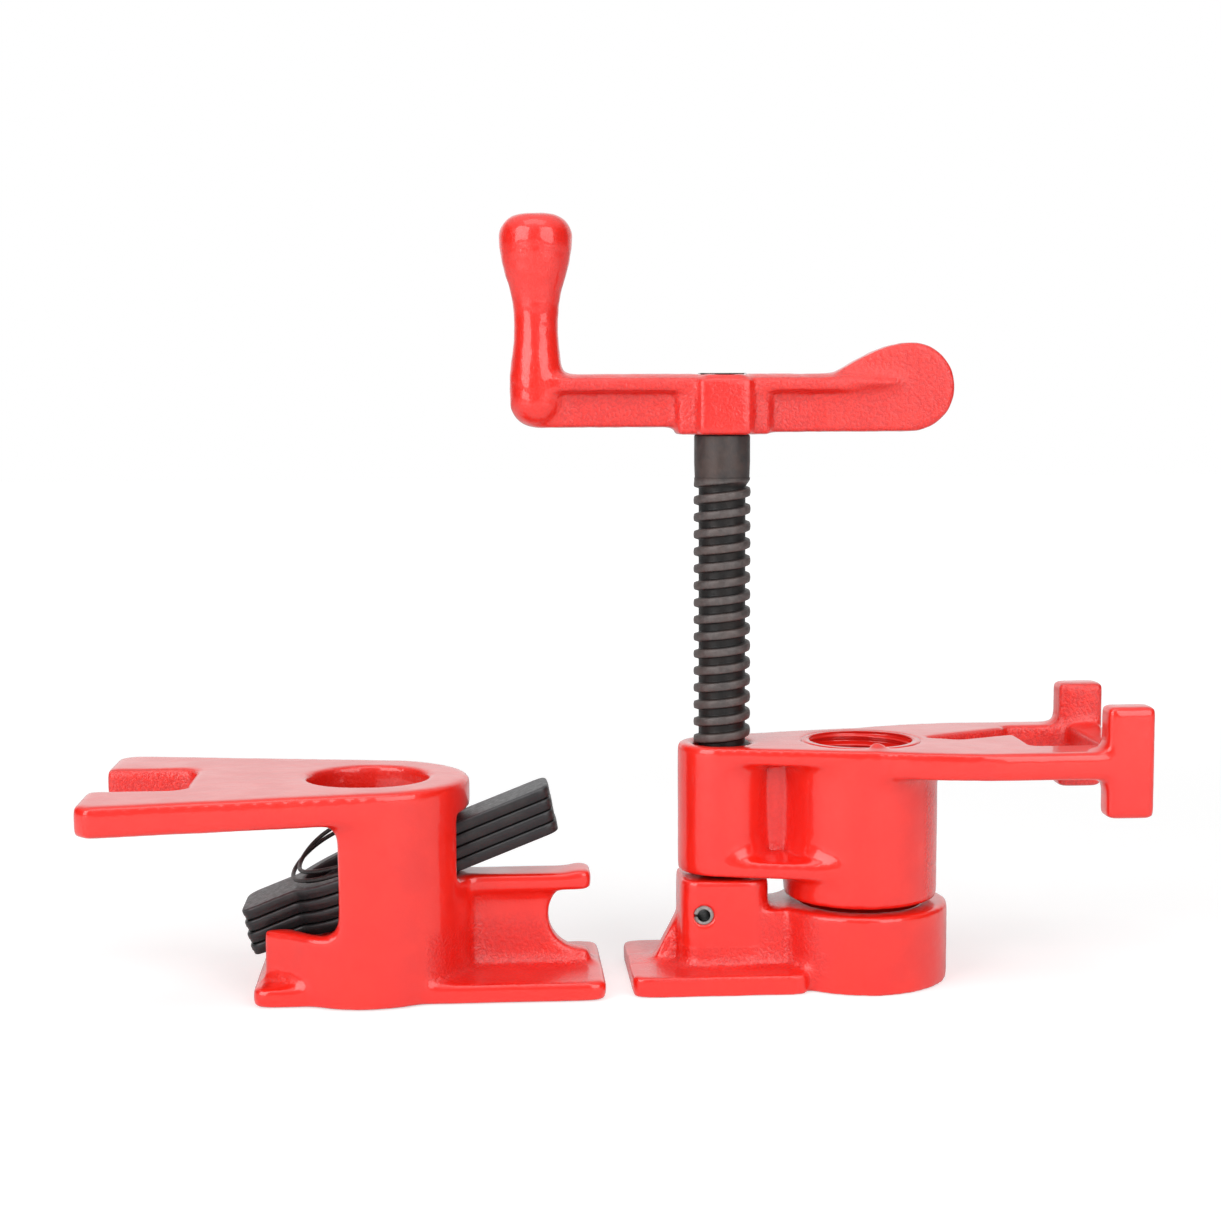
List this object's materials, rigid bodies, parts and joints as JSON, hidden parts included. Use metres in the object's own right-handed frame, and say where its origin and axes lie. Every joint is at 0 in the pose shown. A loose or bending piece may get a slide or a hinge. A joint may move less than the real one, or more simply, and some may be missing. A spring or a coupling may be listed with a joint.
{
  "type": "pipe clamp",
  "caption": "Woodworking pipe clamp set: screw head with crank, H-foot and sliding jaw, and a fork-footed tail stop with clutch plates.",
  "frame": {"origin": "middle of the sliding jaw's pipe bore, on the jaw face that the fixtures stand on", "axes": "+X along the head's arm towards its foot, +Y across the arms, +Z along the pipe and the spindle, up from the jaw faces"},
  "size_m": [0.2418, 0.069, 0.179],
  "materials": {
    "red_paint": "gloss paint over rough cast iron",
    "black_steel": "dark oxide, slightly rubbed",
    "spring_steel": "dark oiled wire"
  },
  "bodies": {
    "jaw": {"sliding_jaw": "red_paint", "jaw_roll_pin": "spring_steel"},
    "screw": {"spindle": "black_steel", "crank_handle": "red_paint"},
    "head": {"fixed_head": "red_paint"},
    "tail": {"tail_body": "red_paint"},
    "clutch": {"clutch_plate_1": "black_steel", "clutch_plate_2": "black_steel", "clutch_plate_3": "black_steel", "clutch_plate_4": "black_steel", "clutch_spring": "spring_steel"}
  },
  "joints": [
    {"name": "spindle_turn", "type": "hinge", "parent": "jaw", "child": "screw", "pos_m": [-0.033, 0, 0], "axis": [0, 0, -1], "range_deg": [0, 5400]},
    {"name": "head_slide", "type": "slide", "parent": "jaw", "child": "head", "axis": [0, 0, 1], "range_m": [0, 0.06]},
    {"name": "tail_slide", "type": "slide", "parent": "jaw", "child": "tail", "axis": [0, 0, 1], "range_m": [0, 0.07]},
    {"name": "clutch_release", "type": "hinge", "parent": "tail", "child": "clutch", "pos_m": [-0.09748, 0, 0.0269], "axis": [0, 1, 0], "range_deg": [0, 15], "stiffness_Nm_per_rad": 0.3, "springref_deg": -17.19, "deforming": ["clutch_spring"]}
  ],
  "couplings": [
    {"joint": "head_slide", "follows": "spindle_turn", "m_per_rad": 0.00063662}
  ]
}
